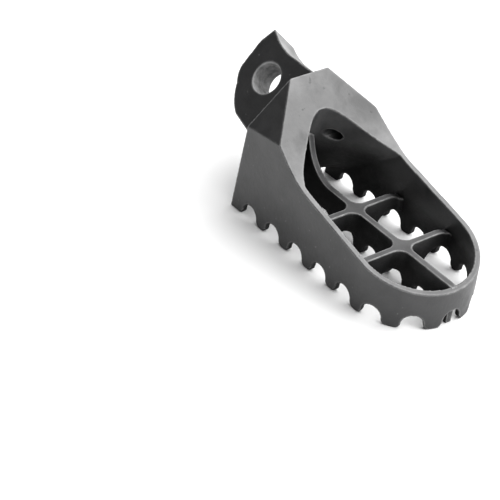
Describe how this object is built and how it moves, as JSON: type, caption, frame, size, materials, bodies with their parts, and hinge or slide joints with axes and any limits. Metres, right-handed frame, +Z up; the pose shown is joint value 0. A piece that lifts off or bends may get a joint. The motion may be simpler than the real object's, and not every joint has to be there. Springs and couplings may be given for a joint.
{
  "type": "foot peg",
  "caption": "Cast steel folding foot peg for a small motorcycle: saw-toothed band round an open rib grid, sloped flange at the rear and a tilted hinge lug with a pivot bore.",
  "frame": {"origin": "middle of the pivot bore in the hinge lug", "axes": "+X from the lug to the rounded tip, +Z up with the peg lying on its saw teeth as shown (on the motorcycle it is turned over, so -Z is the tread side), +Y to the left seen from the lug; XZ is the middle plane of the lengthwise rib"},
  "size_m": [0.1022, 0.041, 0.0472],
  "materials": {
    "black_paint": "satin dark grey paint",
    "rubbed_paint": "satin dark grey paint, rubbed lighter",
    "lug_paint": "satin dark grey paint"
  },
  "bodies": {
    "root": {"hinge_lug": "lug_paint", "upper_weld_bead": "black_paint", "lower_weld_bead": "black_paint", "back_plate": "black_paint", "left_corner_facet": "black_paint", "right_corner_facet": "black_paint", "flange_plate": "rubbed_paint", "left_corner_post": "black_paint", "right_corner_post": "black_paint", "left_toothed_wall": "black_paint", "right_toothed_wall": "black_paint", "toothed_tip_band": "black_paint", "spine_rear": "black_paint", "spine_middle": "black_paint", "spine_front": "black_paint", "rear_hub": "black_paint", "front_hub": "black_paint", "rear_crossbar_left": "black_paint", "rear_crossbar_right": "black_paint", "front_crossbar_left": "black_paint", "front_crossbar_right": "black_paint"}
  },
  "joints": []
}
